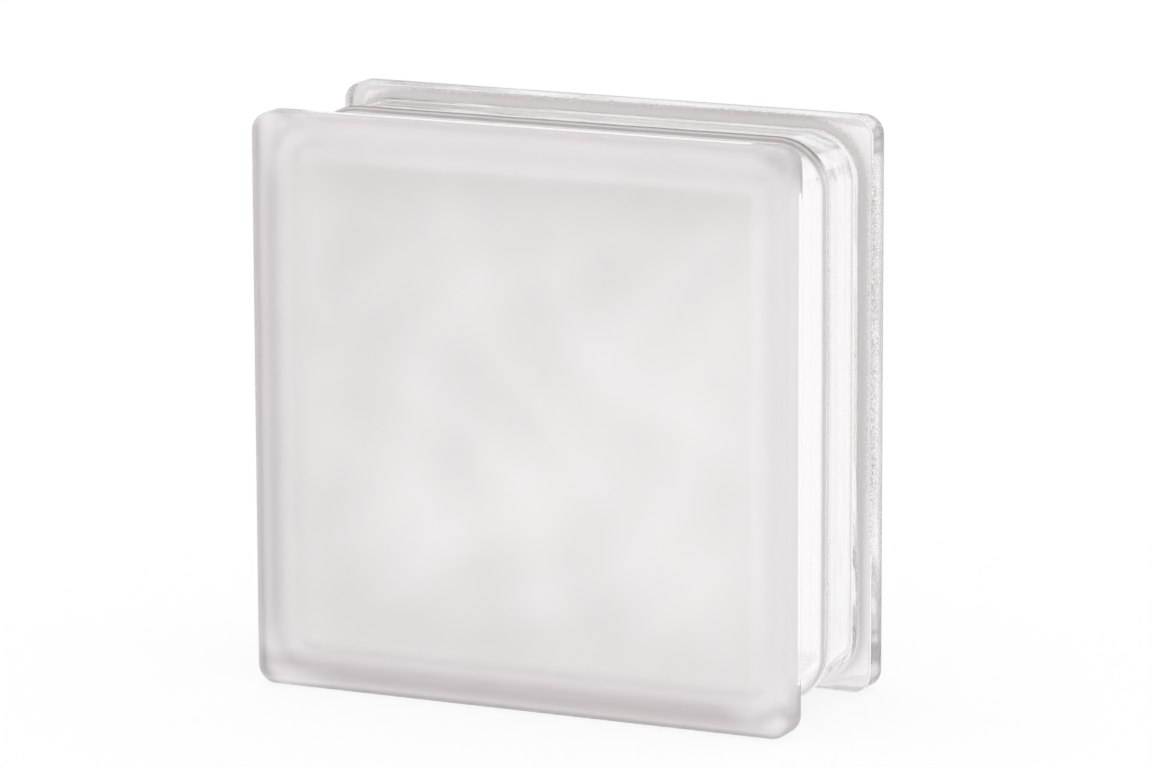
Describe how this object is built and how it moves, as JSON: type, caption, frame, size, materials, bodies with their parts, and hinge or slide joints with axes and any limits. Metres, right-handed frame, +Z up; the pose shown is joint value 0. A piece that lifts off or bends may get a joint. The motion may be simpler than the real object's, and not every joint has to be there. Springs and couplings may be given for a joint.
{
  "type": "glass block",
  "caption": "Square hollow glass wall block with cloudy waves inside its faces, a satin front, rounded lips and a mortar channel with a fused seam around its edge.",
  "frame": {"origin": "middle of the block's foot, on the level of the two rims it stands on", "axes": "+Z up the faces, +Y from the satin front face to the clear rear face, +X to the right as seen from the front"},
  "size_m": [0.19, 0.08, 0.19],
  "materials": {
    "glass": "clear pressed glass, front face and rim etched to a satin finish"
  },
  "bodies": {
    "root": {"glass_block": "glass"}
  },
  "joints": []
}
